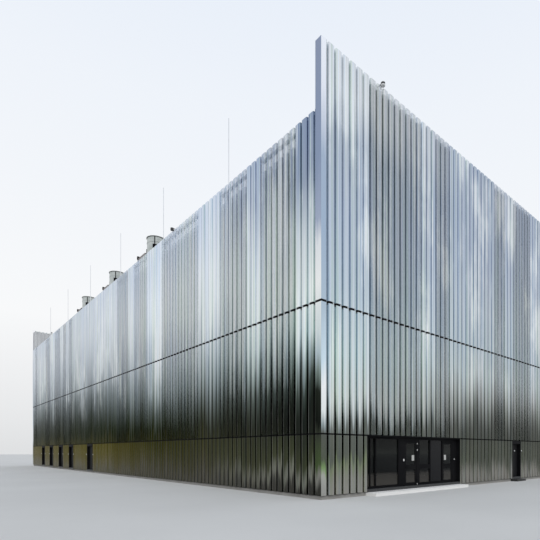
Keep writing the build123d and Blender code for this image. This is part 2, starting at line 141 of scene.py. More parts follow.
def blend(tree, mode, amount, under, over):
    """Lay one colour over another. Each is a number, a colour or a node's output."""
    made = node(tree, "ShaderNodeMix", data_type="RGBA", blend_type=mode)
    for slot, value in ((0, amount), (6, under), (7, over)):
        fill(tree, made.inputs[slot], value)
    return made.outputs[2]


def axes(tree, vector):
    """The X, Y and Z of a vector, as separate values."""
    made = node(tree, "ShaderNodeSeparateXYZ", Vector=vector)
    return [made.outputs[axis] for axis in "XYZ"]


def object_place(tree):
    """Where a point lies in the model, in metres."""
    return node(tree, "ShaderNodeTexCoord").outputs["Object"]


def soft_noise(tree, place, scale, detail, roughness=0.5):
    """Smooth noise with so many changes a metre."""
    made = node(tree, "ShaderNodeTexNoise", Vector=place, Scale=scale, Detail=detail)
    adjust(tree, made, Roughness=roughness)
    return made.outputs[0]


def new_finish(name, metallic, roughness):
    """A material with its Principled shader, and the tree to work in."""
    made = bpy.data.materials.new(name)
    made.use_nodes = True
    shader = made.node_tree.nodes["Principled BSDF"]
    adjust(made.node_tree, shader, Metallic=metallic, Roughness=roughness)
    return made, made.node_tree, shader

# %% [markdown]
# ## Light and ground
# Bright steel shows whatever stands round it, so the light is part of the finish. The world is a
# pale sky that is a little darker at the horizon, and the ground is a pale floor. A wide soft sun
# and two tall softboxes light the matt surfaces. In polished steel they would show as hard white
# lines on every fold, so they are hidden from glossy rays.

# %% A pale sky
SKY_STOPS = tones(
    (0, 740, 750, 760), (60, 800, 810, 820), (250, 940, 950, 960), (600, 860, 900, 960),
    (1000, 700, 790, 930),
)
SEEN_STRENGTH = 1.0
LIGHT_STRENGTH = 0.62
world = bpy.data.worlds.new("pale_sky")
bpy.context.scene.world = world
world.use_nodes = True
sky = world.node_tree
sky_light = sky.nodes["Background"]
direction = node(sky, "ShaderNodeTexCoord").outputs["Generated"]

path = node(sky, "ShaderNodeLightPath")
seen = 0.0
for ray in ("Is Camera Ray", "Is Glossy Ray", "Is Transmission Ray"):
    seen = calculate(sky, "MAXIMUM", seen, path.outputs[ray])
extra = SEEN_STRENGTH - LIGHT_STRENGTH
strength = calculate(sky, "MULTIPLY_ADD", seen, extra, LIGHT_STRENGTH)
adjust(sky, sky_light, Color=ramp(sky, axes(sky, direction)[2], SKY_STOPS), Strength=strength)
print("sky stops", len(SKY_STOPS))

# %% Soft lamps
def lamp(name, kind, strength, place, target, **settings):
    """A lamp at a place, turned towards a target, and not seen itself."""
    data = bpy.data.lights.new(name, kind)
    data.energy = strength
    for setting, value in settings.items():
        setattr(data, setting, value)
    made = bpy.data.objects.new(name, data)
    made.location = place
    made.rotation_euler = (Vector(target) - Vector(place)).to_track_quat("-Z", "Y").to_euler()
    made.visible_camera = False
    made.visible_glossy = False
    bpy.context.collection.objects.link(made)


SUN_STRENGTH = 1.1
SUN_WIDTH = math.radians(35)
BOX_STRENGTH = 90
BOX_SHAPE = {"shape": "RECTANGLE", "size_y": 16.0}
lamp("sun", "SUN", SUN_STRENGTH, (-20, -30, 40), (0, 0, 0), angle=SUN_WIDTH)
lamp("tall_box_left", "AREA", BOX_STRENGTH, (-32, -8, 9), (-6, -6, 4), size=2.0, **BOX_SHAPE)
lamp("tall_box_right", "AREA", BOX_STRENGTH, (-4, -36, 9), (0, -14, 4), size=2.5, **BOX_SHAPE)
print("lamps", len(bpy.data.lights))

# %% A pale floor
FLOOR_RADIUS = 150.0
FLOOR_PATCHES = 0.35
FLOOR_STOPS = tones((300, 660, 660, 650), (700, 710, 710, 700))


def mesh_object(name, bm, finishes):
    """An object from a drawn mesh, with its finishes."""
    data = bpy.data.meshes.new(name)
    bm.to_mesh(data)
    bm.free()
    for finish in finishes:
        data.materials.append(finish)
    made = bpy.data.objects.new(name, data)
    bpy.context.collection.objects.link(made)
    return made


floor_finish, tree, shader = new_finish("pale_floor", 0.0, 0.9)
floor_grain = soft_noise(tree, object_place(tree), FLOOR_PATCHES, 6.0)
adjust(tree, shader, Base_Color=ramp(tree, floor_grain, FLOOR_STOPS))
bm = bmesh.new()
bmesh.ops.create_circle(bm, cap_ends=True, segments=96, radius=FLOOR_RADIUS)
floor = mesh_object("floor", bm, [floor_finish])
print("floor radius", FLOOR_RADIUS)

# %% [markdown]
# ## Facade frames
# All four sides are built the same way, so each gets a frame: how far along the facade, how deep
# behind the crests, and how high. A piece is drawn once in that frame and then turned into place.
# Two of the frames are mirror images, which turns faces inside out, so their faces are reversed
# after the turn.

# %% From a facade's own frame to the building
SIDES = ("front", "left", "right", "back")
END_SIDES = ("front", "back")
INWARD = {"front": (0, 1, 0), "back": (0, -1, 0), "left": (1, 0, 0), "right": (-1, 0, 0)}


def to_corner(right, back):
    """The move from the origin to the foot of one of the building's corners."""
    x = corner_high.x if right else corner_low.x
    y = corner_high.y if back else corner_low.y
    return Matrix.Translation((x, y, 0.0))


def facade_matrix(side):
    """Along the facade, inwards and up, as the building's axes."""
    along = (1, 0, 0) if side in END_SIDES else (0, 1, 0)
    turn = Matrix((along, INWARD[side], (0, 0, 1))).transposed().to_4x4()
    return to_corner(side == "right", side == "back") @ turn


def facade_length(side):
    """The length of a facade between its corners."""
    size = corner_high - corner_low
    return size.x if side in END_SIDES else size.y


def stand_on(bm, side):
    """Turn a mesh drawn in a facade's frame into place, and keep its faces the right way out."""
    matrix = facade_matrix(side)
    bmesh.ops.transform(bm, matrix=matrix, verts=bm.verts)
    if matrix.to_3x3().determinant() < 0:
        bmesh.ops.reverse_faces(bm, faces=bm.faces)


def finish_piece(name, bm, finishes, body):
    """Turn a mesh into a piece that rides on a body and takes its finish from a slot."""
    piece = mesh_object(name, bm, finishes)
    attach(piece, body)
    return piece


for side in SIDES:
    print(side, round(facade_length(side), 3))

# %% [markdown]
# ## The folded steel sheets
# The sheets are about three millimetres thick and folded into broad crests with narrow deep
# grooves between them. One way is an array of a modelled rib, but the crests of the real sheets
# are never quite flat: each one is a little bowed and twisted, and that is what breaks the
# reflections into streaks. So one rib's section is copied along the facade, welded, and pulled
# up row by row, and each crest is then turned a little by smooth noise. Solidify gives the sheet
# its thickness at the end.

# %% One rib's section
PITCH = 0.2
HALF_GROOVE = 0.035
FIRST_GROOVES = {}
for side in SIDES:
    axis = 0 if side in END_SIDES else 1
    sheet_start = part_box(f"{side}_cladding_top")[0][axis]
    FIRST_GROOVES[side] = sheet_start - corner_low[axis] + HALF_GROOVE
GROOVE_DEPTH = 0.076
GROOVE_FLOOR = 0.009
LIP = 0.029
LIP_LEAN = 0.002
LIP_ROUND = 0.005
BOW = 0.0035
CREST_SETBACK = 0.002
CREST_OFFSETS = (0.067, 0.058, 0.030, 0.0)


def crest_depth(offset):
    """How deep the bowed crest lies at an offset from its middle."""
    half = PITCH / 2 - LIP
    return CREST_SETBACK + BOW * (offset / half) ** 2


def rib_section():
    """One pitch of the sheet, from groove to groove, as (along, depth) points."""
    half = [(0.0, GROOVE_DEPTH), (GROOVE_FLOOR, GROOVE_DEPTH)]
    half.append((LIP - LIP_LEAN, crest_depth(PITCH / 2 - LIP) + LIP_ROUND))
    half += [(PITCH / 2 - offset, crest_depth(offset)) for offset in CREST_OFFSETS]
    return half + [(PITCH - a, d) for a, d in reversed(half[:-1])]


SECTION = rib_section()
print("first grooves", FIRST_GROOVES, "points in one rib", len(SECTION))

# %% Copy ribs along the facade and pull them up
WELD = 0.0005
CUT_MARGIN = 0.0002
FLANK_END = (0.034, 0.001)


def polyline(bm, points):
    """A row of joined edges through (along, depth) points."""
    verts = [bm.verts.new((a, d, 0.0)) for a, d in points]
    return verts + [bm.edges.new(pair) for pair in zip(verts, verts[1:])]


def repeat(bm, rib, spacing, count):
    """Copy a drawn rib along the facade, once every spacing."""
    for step in range(1, count):
        copy = bmesh.ops.duplicate(bm, geom=rib)["geom"]
        moved = [v for v in copy if isinstance(v, bmesh.types.BMVert)]
        bmesh.ops.translate(bm, vec=(step * spacing, 0, 0), verts=moved)


def end_flank(bm, place, direction):
    """The half groove that turns out to the corner piece, towards -1 or 1 along the facade."""
    reach = [(0.0, GROOVE_DEPTH), (GROOVE_FLOOR, GROOVE_DEPTH), (LIP, CREST_SETBACK), FLANK_END]
    polyline(bm, sorted((place + direction * a, d) for a, d in reach))


def folded_line(side, inset=0.0):
    """The whole section of one facade, from corner piece to corner piece, set back by the inset."""
    bm = bmesh.new()
    start = FIRST_GROOVES[side]
    count = round((facade_length(side) - 2 * start) / PITCH)
    repeat(bm, polyline(bm, [(start + a, d) for a, d in SECTION]), PITCH, count)
    end_flank(bm, start, -1)
    end_flank(bm, start + count * PITCH, 1)
    bmesh.ops.remove_doubles(bm, verts=bm.verts, dist=WELD)
    bmesh.ops.translate(bm, vec=(0, inset, 0), verts=bm.verts)
    return bm


def cut_out(bm, start, end):
    """Take the folded line away between two places along the facade."""
    for place in (start, end):
        line = bm.verts[:] + bm.edges[:]
        bmesh.ops.bisect_plane(bm, geom=line, plane_co=(place, 0, 0), plane_no=(1, 0, 0))
    inside = [v for v in bm.verts if start + CUT_MARGIN < v.co.x < end - CUT_MARGIN]
    bmesh.ops.delete(bm, geom=inside, context="VERTS")


def pull_up(bm, heights):
    """Extrude the whole folded line upwards, one row at a time."""
    edges = bm.edges[:]
    bmesh.ops.translate(bm, vec=(0, 0, heights[0]), verts=bm.verts)
    for low, high in zip(heights, heights[1:]):
        grown = bmesh.ops.extrude_edge_only(bm, edges=edges)["geom"]
        fresh = {v for v in grown if isinstance(v, bmesh.types.BMVert)}
        bmesh.ops.translate(bm, vec=(0, 0, high - low), verts=list(fresh))
        edges = [e for e in grown if isinstance(e, bmesh.types.BMEdge) and set(e.verts) <= fresh]

# %% Turn every crest a little
TWIST = 0.030
TWIST_CHANGES = (3.7, 0.22)
WAVE = 0.0008
WAVE_CHANGES = (1.3, 0.9)
WAVE_SEED = 40.0
DEEPEST_CREST = 0.02
BEHIND_FACADE = 0.0003
ROW_HEIGHT = 0.62


def smooth_chance(rib, height, changes, seed):
    """Smooth noise for a place on a rib. Changes is how fast it varies by rib and by height."""
    return noise.noise(Vector((rib * changes[0], height * changes[1], seed)))


def unsettle(bm, start, seed):
    """Bow and twist each crest by smooth noise, and never beyond the facade's own plane."""
    for vert in bm.verts:
        rib = math.floor((vert.co.x - start) / PITCH)
        offset = vert.co.x - start - (rib + 0.5) * PITCH
        if abs(offset) > PITCH / 2 - LIP or vert.co.y > DEEPEST_CREST:
            continue
        turn = TWIST * smooth_chance(rib, vert.co.z, TWIST_CHANGES, seed)
        wave = WAVE * smooth_chance(rib, vert.co.z, WAVE_CHANGES, seed + WAVE_SEED)
        vert.co.y = max(BEHIND_FACADE, vert.co.y + turn * offset + wave)


def rows(low, high):
    """Heights of the rows between two joints, evenly spaced."""
    count = max(2, round((high - low) / ROW_HEIGHT))
    return [low + (high - low) * k / count for k in range(count + 1)]


print("rows up to the parapet", len(rows(0.0, corner_high.z)) - 1)

# %% [markdown]
# ## The steel itself
# Polished steel has hardly any colour of its own: it takes the tone of what it faces. On the real
# building the foot of the wall mirrors paving and grass, the middle mirrors dark trees and the
# upper part mirrors cloud. Standing real trees round the model would do it, but the part has to
# look right by itself, so these reflections are painted into the finish as tones. A UV map stores
# how far along and how high each point is. The height picks the painted reflection, and two or
# three sets of tones are faded into each other along the facade, because near and far stretches
# face different things.

# %% Painted reflections by height on the end faces
HEIGHT_SPAN = 9.0
END_NEAR = tones(
    (15, 530, 500, 450), (36, 470, 450, 390), (52, 390, 390, 310), (68, 330, 370, 230),
    (86, 170, 180, 150), (142, 150, 160, 140), (160, 240, 260, 250), (180, 540, 570, 560),
    (215, 780, 810, 800), (300, 720, 800, 820), (450, 600, 670, 740), (620, 570, 620, 710),
    (780, 560, 600, 660), (880, 840, 840, 840),
)
END_FAR = tones(
    (10, 460, 430, 390), (30, 380, 360, 320), (55, 170, 175, 140), (135, 110, 115, 100),
    (175, 140, 145, 135), (215, 260, 270, 255), (260, 460, 470, 470), (320, 620, 660, 680),
    (410, 550, 610, 670), (540, 560, 610, 680), (700, 500, 550, 650), (880, 480, 530, 630),
)

# %% Painted reflections by height on the long sides
SIDE_NEAR = tones(
    (18, 80, 75, 66), (34, 310, 300, 250), (52, 250, 250, 200), (70, 80, 86, 48), (125, 40, 45, 33),
    (150, 20, 22, 19), (195, 20, 24, 20), (240, 60, 75, 65), (295, 320, 380, 380),
    (345, 700, 770, 770), (440, 880, 910, 890), (580, 690, 730, 760), (700, 360, 410, 510),
    (820, 320, 380, 500),
)
SIDE_MIDDLE = tones(
    (15, 180, 170, 150), (55, 120, 115, 80), (95, 88, 90, 61), (165, 66, 68, 55),
    (200, 110, 120, 105), (240, 190, 210, 205), (300, 400, 440, 450), (370, 580, 620, 650),
    (435, 700, 730, 770), (520, 880, 900, 920), (620, 920, 930, 960), (780, 780, 830, 920),
)
SIDE_FAR = tones(
    (15, 270, 250, 210), (35, 230, 200, 125), (60, 195, 170, 80), (125, 175, 155, 80),
    (140, 85, 85, 66), (200, 52, 55, 47), (265, 68, 75, 69), (340, 170, 190, 195),
    (430, 420, 450, 480), (560, 620, 650, 700), (670, 740, 760, 810), (800, 700, 740, 820),
)
END_ZONES = [END_NEAR, (END_FAR, 2.8, 6.5)]
SIDE_ZONES = [SIDE_NEAR, (SIDE_MIDDLE, 1.6, 5.5), (SIDE_FAR, 9.0, 15.5)]
# The grazing tones tint the sheen by height: a painted reflection of what each height faces.
GRAZING_END = tones((150, 600, 600, 580), (400, 900, 900, 900))
GRAZING_SIDE = tones(
    (60, 500, 470, 380), (120, 400, 370, 270), (170, 290, 300, 260), (300, 460, 480, 480),
    (420, 680, 700, 720), (600, 860, 880, 910),
)
print("tone sets", len(END_ZONES) + len(SIDE_ZONES))

# %% [markdown]
# The UV map counts along each facade from two sheets before its first groove, and keeps the four
# facades forty-two metres apart, which is a whole number of sheets. So no two get the same noise,
# a modulo brings the distance along each one back, and a division gives the number of the rib.
# Each crest then gets its own random shift in its painted reflection, and painted streaks of sheen
# are noise that changes fast along the facade and slowly upwards. The tree line bends down at both
# edges of a crest, because a bowed crest spreads what it mirrors, so the height is lowered towards
# the grooves. The low sheets hang at a slightly different angle and mirror the ground, so the
# height is held below one value under the low joint and above another over it.

# %% Where a point lies on the facade
FACADE_APART = 42.0
UV_LEAD = 1.2


def place_on_sheet(tree):
    """Metres along the facade and above ground, from the UV map, and the height as a share."""
    along, height, _ = axes(tree, node(tree, "ShaderNodeUVMap", uv_map="sheet").outputs[0])
    return along, height, calculate(tree, "DIVIDE", height, HEIGHT_SPAN)


def strips(tree, along, width):
    """The number of the strip a point is in, and its place across that strip from 0 to 1."""
    place = calculate(tree, "DIVIDE", along, width)
    return calculate(tree, "FLOOR", place), calculate(tree, "FRACT", place)


def chance(tree, number):
    """A random value that belongs to a strip's number."""
    made = node(tree, "ShaderNodeTexWhiteNoise", noise_dimensions="1D", W=number)
    return made.outputs["Value"]


def streaks(tree, along, height, across, upright, detail=3.0):
    """Noise stretched upright: so many changes a metre across, and so many a metre upwards."""
    place = node(
        tree, "ShaderNodeCombineXYZ", X=calculate(tree, "MULTIPLY", along, across),
        Y=calculate(tree, "MULTIPLY", height, upright),
    )
    return soft_noise(tree, place.outputs[0], 1.0, detail, 0.55)


def swing(tree, value, amount, about=0.0):
    """Centre a 0 to 1 value on zero, scale it, and add it to what it swings about."""
    centred = calculate(tree, "SUBTRACT", value, 0.5)
    return calculate(tree, "MULTIPLY_ADD", centred, amount, about)

# %% Painted reflections, highlights and shade on the folded steel
SHEET_WIDTH = 3 * PITCH
LOW_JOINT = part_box("front_cladding_low")[1].z
UNDER_LOW_JOINT = 0.128
OVER_LOW_JOINT = 0.145
EDGE_DROP = 0.035
RIB_SHIFT = 0.035
FINE_STREAKS, FINE_SHIFT = (24.0, 0.20, 2.0), 0.11
BROAD_STREAKS, BROAD_SHIFT = (1.7, 0.35), 0.06
CLOUD_STREAKS, CLOUD_SHIFT = (0.8, 0.30, 4.0), 0.5
HUE_STREAKS = (15.0, 0.12, 1.0)
# Painted reflection of bright cloud on the upper sheets, in streaky patches.
CLOUD_REFLECTION = (0.93, 0.94, 0.94, 1.0)
CLOUD_COVER = [(0.52, 0.0), (0.64, 0.75)]
CLOUD_HEIGHTS = [(0.24, 0.0), (0.38, 1.0)]
HUES = [(0.36, (0.86, 0.94, 0.88)), (0.5, 1.0), (0.62, (0.88, 0.95, 1.0))]
# Painted highlight: a pale line along one edge of each crest, strongest low down.
LIP_HIGHLIGHT = (0.62, 0.64, 0.62, 1.0)
LIP_HIGHLIGHT_PLACE = [(0.77, 0.0), (0.80, 0.3), (0.85, 0.3), (0.87, 0.0)]
LIP_HIGHLIGHT_HEIGHTS = [(0.16, 1.0), (0.28, 0.15)]
# Painted shade in the grooves: near black low down, light grey high up.
GROOVE_SHADE_TONES = [(0.15, 0.02), (0.24, 0.22), (0.34, (0.70, 0.73, 0.76))]
GROOVE_SHADE_PLACE = [(0.77, 0.0), (0.93, 1.0)]
DARKEST_SHEET = 0.93


def zone_tones(tree, along, level, zones):
    """Fade the sets of tones into each other along the facade."""
    local = calculate(tree, "MODULO", along, FACADE_APART)
    nearest, *further = zones
    base = ramp(tree, level, nearest)
    for stops, start, end in further:
        reach = node(tree, "ShaderNodeMapRange", Value=local, From_Min=start, From_Max=end)
        base = blend(tree, "MIX", reach.outputs[0], base, ramp(tree, level, stops))
    return base


def mirrored_height(tree, along, height, level, fine):
    """The height that a point mirrors: uneven, and held on its own side of the low joint."""
    rib, across = strips(tree, along, PITCH)
    edge = calculate(tree, "ABSOLUTE", swing(tree, across, 2.0))
    drop = calculate(tree, "MULTIPLY", calculate(tree, "POWER", edge, 2.0), EDGE_DROP)
    level = calculate(tree, "SUBTRACT", level, drop)
    level = swing(tree, chance(tree, rib), RIB_SHIFT, level)
    level = swing(tree, fine, FINE_SHIFT, level)
    level = swing(tree, streaks(tree, along, height, *BROAD_STREAKS), BROAD_SHIFT, level)
    above = calculate(tree, "GREATER_THAN", height, LOW_JOINT)
    lowest = calculate(tree, "MULTIPLY", above, OVER_LOW_JOINT)
    highest = calculate(tree, "ADD", above, UNDER_LOW_JOINT)
    level = calculate(tree, "MAXIMUM", level, lowest)
    return calculate(tree, "MINIMUM", level, highest), across, edge

# %% Folded steel
def folded_steel(name, look, roughness, alpha, shade, contrast):
    """Polished sheet: a painted reflection for each height, streaked and shifted from crest to
    crest.
    """
    zones, grazing = look
    made, tree, shader = new_finish(name, 1.0, roughness)
    along, height, level = place_on_sheet(tree)
    fine = streaks(tree, along, height, *FINE_STREAKS)
    level, across, edge = mirrored_height(tree, along, height, level, fine)
    # The base colour is a painted reflection: a tone for what each height faces.
    base = zone_tones(tree, along, level, zones)
    # Painted reflection of bright cloud, in streaky patches on the upper sheets.
    cloud = swing(tree, fine, CLOUD_SHIFT, streaks(tree, along, height, *CLOUD_STREAKS))
    high = ramp(tree, level, CLOUD_HEIGHTS)
    cover = calculate(tree, "MULTIPLY", ramp(tree, cloud, CLOUD_COVER), high)
    base = blend(tree, "MIX", cover, base, CLOUD_REFLECTION)
    # Painted sheen: streaks that lighten and darken the painted reflection along each crest.
    dull = 1.0 - contrast
    gloss = ramp(tree, fine, [(0.34, (dull, dull + 0.02, dull + 0.05)), (0.5, 0.97), (0.62, 1.0)])
    # Painted reflection tint: streaks between pale green and pale blue.
    hue = ramp(tree, streaks(tree, along, height, *HUE_STREAKS), HUES)
    base = blend(tree, "MULTIPLY", 1.0, blend(tree, "MULTIPLY", 1.0, base, gloss), hue)
    # Painted highlight: a pale line along one edge of each crest, strongest low down.
    low_down = ramp(tree, level, LIP_HIGHLIGHT_HEIGHTS)
    lip_highlight = calculate(tree, "MULTIPLY", ramp(tree, across, LIP_HIGHLIGHT_PLACE), low_down)
    base = blend(tree, "MIX", lip_highlight, base, LIP_HIGHLIGHT)
    # Painted shade in the grooves: near black low down, light grey high up.
    groove = ramp(tree, level, GROOVE_SHADE_TONES)
    base = blend(tree, "MIX", ramp(tree, edge, GROOVE_SHADE_PLACE), base, groove)
    sheet = chance(tree, strips(tree, along, SHEET_WIDTH)[0])
    strip = ramp(tree, sheet, [(0.0, shade * DARKEST_SHEET), (1.0, shade)])
    base = blend(tree, "MULTIPLY", 1.0, base, strip)
    # Painted reflection in the sheen: its tint changes with height.
    tint = ramp(tree, level, grazing)
    adjust(tree, shader, Base_Color=base, Specular_Tint=tint, Alpha=alpha)
    return made


END_LOOK = (END_ZONES, GRAZING_END)
SIDE_LOOK = (SIDE_ZONES, GRAZING_SIDE)
# The numbers are roughness, alpha, shade and contrast.
END_STEELS = [
    folded_steel("end_steel", END_LOOK, 0.16, 1.0, 1.0, 0.20),
    folded_steel("end_perforated_steel", END_LOOK, 0.24, 0.80, 0.82, 0.16),
    folded_steel("end_steel_against_sky", END_LOOK, 0.24, 0.5, 0.95, 0.12),
]
SIDE_STEELS = [
    folded_steel("side_steel", SIDE_LOOK, 0.16, 1.0, 1.0, 0.20),
    folded_steel("side_perforated_steel", SIDE_LOOK, 0.24, 0.76, 0.88, 0.16),
    folded_steel("side_steel_against_sky", SIDE_LOOK, 0.24, 0.5, 0.95, 0.12),
]
print("steel finishes", len(END_STEELS) + len(SIDE_STEELS))

# %% [markdown]
# ## Which sheets are perforated
# A sheet is three ribs wide and meets its neighbours in a groove. On the two upper tiers some
# sheets are finely perforated. Hundreds of thousands of holes would be far too heavy, so those
# faces get a second finish with a constant transparency, which is what the eye sees from the
# ground. A third, more open one goes above the inner wall, where the sky and the top rail show.

# %% Sheets, tiers and openings
END_OPEN = {2, 3, 4, 6, 11, 13, 14}
SIDE_OPEN = {1, 2, 4, 5, 8, 9, 10, 11, 14, 15, 17, 18, 30, 32, 34, 35, 38, 39, 44}
SHEET_THICKNESS = 0.003
JOINT_EASE = 0.007
low_floor, low_head = (corner[2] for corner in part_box("front_cladding_low"))
middle_foot, middle_head = (corner[2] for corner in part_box("front_cladding_middle"))
top_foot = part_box("front_cladding_top")[0][2] + JOINT_EASE
TIERS = {"low": (low_floor, low_head), "middle": (middle_foot, middle_head - JOINT_EASE)}
DOOR_MARGIN = 0.028
WALLS = {
    "front": "front_wall_upper", "left": "left_wall_upper", "right": "right_wall",
    "back": "back_wall",
}
WALL_HEADS = {side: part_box(name)[1].z for side, name in WALLS.items()}


def openings(side):
    """Where the doors interrupt the low tier, as (start, end) along the facade."""
    if side == "front":
        boxes = [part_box(name) for name in ("entrance_frame", "service_door_frame")]
        return [(low.x - corner_low.x, high.x - corner_low.x) for low, high in boxes]
    if side != "left":
        return []
    found = []
    for number in range(1, 6):
        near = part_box(f"side_door_{number}_leaf_a")[0].y - corner_low.y - DOOR_MARGIN
        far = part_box(f"side_door_{number}_leaf_b")[1].y - corner_low.y + DOOR_MARGIN
        found.append((near, far))
    return found


for side in ("front", "left"):
    print(side, "openings", [tuple(round(v, 3) for v in span) for span in openings(side)])

# %% Make the sheets of every tier
SEED_STEP = 11.0
SHARP_FOLD = math.radians(15)


def clad(side, tier, heights, doors, stands_for):
    """One tier of folded sheets on one facade."""
    bm = folded_line(side)
    for start, end in doors:
        cut_out(bm, start, end)
    pull_up(bm, heights)
    unsettle(bm, FIRST_GROOVES[side], SEED_STEP * len(side) + heights[0])
    face_outwards(bm)
    paint_sheets(bm, side, tier)
    stand_on(bm, side)
    finishes = END_STEELS if side in END_SIDES else SIDE_STEELS
    piece = finish_piece(f"{side}_sheets_{tier}", bm, finishes, "building")
    thicken(piece)
    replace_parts(piece, stands_for)
    return piece


def face_outwards(bm):
    """Make the faces of each sheet agree, and turn a sheet over if it looks into the building."""
    bmesh.ops.recalc_face_normals(bm, faces=bm.faces)
    waiting = set(bm.faces)
    while waiting:
        sheet = [waiting.pop()]
        for face in sheet:
            near = {other for edge in face.edges for other in edge.link_faces} & waiting
            waiting -= near
            sheet.extend(near)
        front = min(sheet, key=lambda face: face.calc_center_median().y)
        if front.normal.y > 0:
            bmesh.ops.reverse_faces(bm, faces=sheet)


def store_places(bm, place_of):
    """Write every corner's place along the facade and its height into the UV map."""
    layer = bm.loops.layers.uv.new("sheet")
    for face in bm.faces:
        for loop in face.loops:
            loop[layer].uv = (place_of(face, loop.vert.co), loop.vert.co.z)


def thicken(piece):
    """Give a folded sheet its thickness, inwards from the modelled face."""
    skin = piece.modifiers.new("thickness", "SOLIDIFY")
    skin.thickness = SHEET_THICKNESS
    skin.offset = -1.0


def paint_sheets(bm, side, tier):
    """Choose each face's finish, keep the folds sharp, and store the place in the UV map."""
    start = FIRST_GROOVES[side]
    shift = FACADE_APART * SIDES.index(side) + UV_LEAD - start
    perforated = END_OPEN if side in END_SIDES else SIDE_OPEN
    for face in bm.faces:
        middle = face.calc_center_median()
        sheet = math.floor((middle.x - start) / SHEET_WIDTH)
        if tier != "low" and sheet in perforated:
            face.material_index = 2 if middle.z > WALL_HEADS[side] else 1
        face.smooth = True
    for edge in bm.edges:
        edge.smooth = not edge.is_boundary and edge.calc_face_angle(0.0) < SHARP_FOLD
    store_places(bm, lambda face, place: place.x + shift)


cladding = []
for side in SIDES:
    doors = openings(side)
    top_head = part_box(f"{side}_cladding_top")[1][2]
    low, middle = ("low", "middle") if doors else ("lower", "lower")
    cladding.append(clad(side, "low", rows(*TIERS["low"]), doors, f"{side}_cladding_{low}"))
    cladding.append(clad(side, "middle", rows(*TIERS["middle"]), [], f"{side}_cladding_{middle}"))
    top_rows = [*rows(top_foot, WALL_HEADS[side]), top_head]
    cladding.append(clad(side, "top", top_rows, [], f"{side}_cladding_top"))
print("sheet faces", sum(len(piece.data.polygons) for piece in cladding))

# %% [markdown]
# ## Corner pieces
# At each corner a flat sheet is folded round, with a return at both ends that meets the first
# groove. It is drawn once as a folded line in the near corner, pulled up in the same three tiers,
# and mirrored to the other corners. The wide flat legs mirror one thing at a time, so they get
# plainer tones than the ribs, with their own heights for trees and sky.

# %% Painted reflections on the corner pieces
CORNER_END = tones(
    (20, 580, 570, 530), (45, 600, 600, 540), (60, 300, 460, 190), (80, 130, 150, 110),
    (140, 110, 120, 110), (160, 340, 400, 420), (190, 860, 910, 920), (240, 920, 950, 970),
    (290, 620, 760, 860), (400, 440, 540, 640), (560, 380, 480, 610), (720, 400, 480, 600),
    (860, 860, 870, 920), (960, 950, 950, 970),
)
CORNER_SIDE = tones(
    (20, 60, 60, 50), (45, 330, 320, 280), (70, 80, 120, 45), (130, 40, 48, 33), (160, 4, 6, 4),
    (230, 12, 16, 11), (265, 170, 220, 200), (305, 420, 510, 550), (350, 610, 680, 690),
    (460, 840, 850, 830), (540, 740, 760, 770), (590, 360, 410, 520), (720, 250, 310, 430),
    (960, 270, 310, 410),
)
FLAT_STREAKS, FLAT_SHIFT = (12.0, 0.5), 0.08


def flat_steel(name, stops):
    """Polished flat sheet that mirrors one thing at a time, with soft long edges between them."""
    made, tree, shader = new_finish(name, 1.0, 0.15)
    along, height, level = place_on_sheet(tree)
    level = swing(tree, streaks(tree, along, height, *FLAT_STREAKS), FLAT_SHIFT, level)
    adjust(tree, shader, Base_Color=ramp(tree, level, stops))
    return made


CORNER_STEELS = [
    flat_steel("corner_end_steel", CORNER_END), flat_steel("corner_side_steel", CORNER_SIDE),
]

# %% Fold and place the corner pieces
CORNER_GAP = 0.002
END_LEG = FIRST_GROOVES["front"] - HALF_GROOVE - CORNER_GAP
SIDE_LEG = FIRST_GROOVES["left"] - HALF_GROOVE - CORNER_GAP
RETURN_DEPTH = 0.086
FOLD = 0.004
LEG_HOLLOW = 0.0015
RIGHT_APART = 7.0
BACK_APART = 13.0
CORNERS = {
    "front_left": (False, False), "front_right": (True, False),
    "back_left": (False, True), "back_right": (True, True),
}


def corner_line(inset):
    """The folded line of the near corner: x along the end face and y along the side."""
    bm = bmesh.new()
    end_half, side_half = (
        [(leg, RETURN_DEPTH), (leg, FOLD), (leg - FOLD, 0.0), (leg / 2, LEG_HOLLOW), (FOLD, 0.0)]
        for leg in (END_LEG, SIDE_LEG)
    )
    line = end_half + [(y, x) for x, y in reversed(side_half)]
    polyline(bm, [(x + inset, y + inset) for x, y in line])
    return bm


def stand_in_corner(bm, right, back):
    """Mirror the near corner to another corner and keep its faces the right way out."""
    mirror = Matrix.Diagonal((-1 if right else 1, -1 if back else 1, 1, 1))
    bmesh.ops.transform(bm, matrix=to_corner(right, back) @ mirror, verts=bm.verts)
    if right != back:
        bmesh.ops.reverse_faces(bm, faces=bm.faces)


def corner_piece(name, right, back, low, high):
    """One tier of one corner piece."""
    bm = corner_line(0.0)
    pull_up(bm, rows(low, high))
    face_outwards(bm)
    apart = RIGHT_APART * right + BACK_APART * back
    on_side = {}
    for face in bm.faces:
        middle = face.calc_center_median()
        on_side[face] = middle.x < middle.y
        face.material_index = 1 if on_side[face] and not back else 0
    store_places(bm, lambda face, place: (place.y if on_side[face] else place.x) + apart)
    stand_in_corner(bm, right, back)
    piece = finish_piece(name, bm, CORNER_STEELS, "building")
    thicken(piece)
    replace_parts(piece, "corner_angles")
    return piece


CORNER_TIERS = {**TIERS, "top": (top_foot, corner_high.z)}
for where, (right, back) in CORNERS.items():
    for tier, (low, high) in CORNER_TIERS.items():
        cladding.append(corner_piece(f"{where}_corner_{tier}", right, back, low, high))
print("corner legs", round(END_LEG, 3), round(SIDE_LEG, 3))
